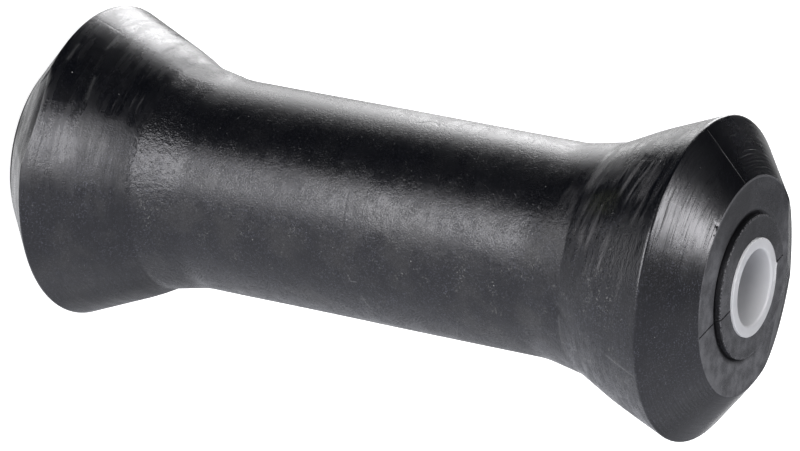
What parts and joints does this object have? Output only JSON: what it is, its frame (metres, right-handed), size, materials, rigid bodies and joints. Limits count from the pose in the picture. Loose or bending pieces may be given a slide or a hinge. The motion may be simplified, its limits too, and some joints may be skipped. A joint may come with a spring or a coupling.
{
  "type": "boat trailer roller",
  "caption": "Waisted rubber keel roller for a boat trailer: straight core, flared flanges with coned ends, raised end bosses and a plastic bush with a through hole for a spindle.",
  "frame": {"origin": "centre of the bush's lower end, on the floor that the roller stands on", "axes": "+Z along the spindle hole, from the lower end to the end that the picture shows; -Y towards the picture's viewer"},
  "size_m": [0.0829, 0.0828, 0.2056],
  "materials": {
    "black_rubber": "satin moulded black rubber, finely turned and scuffed",
    "white_nylon": "milky white nylon, smooth"
  },
  "bodies": {
    "root": {"rubber_roller": "black_rubber", "bush_tube": "white_nylon"}
  },
  "joints": []
}
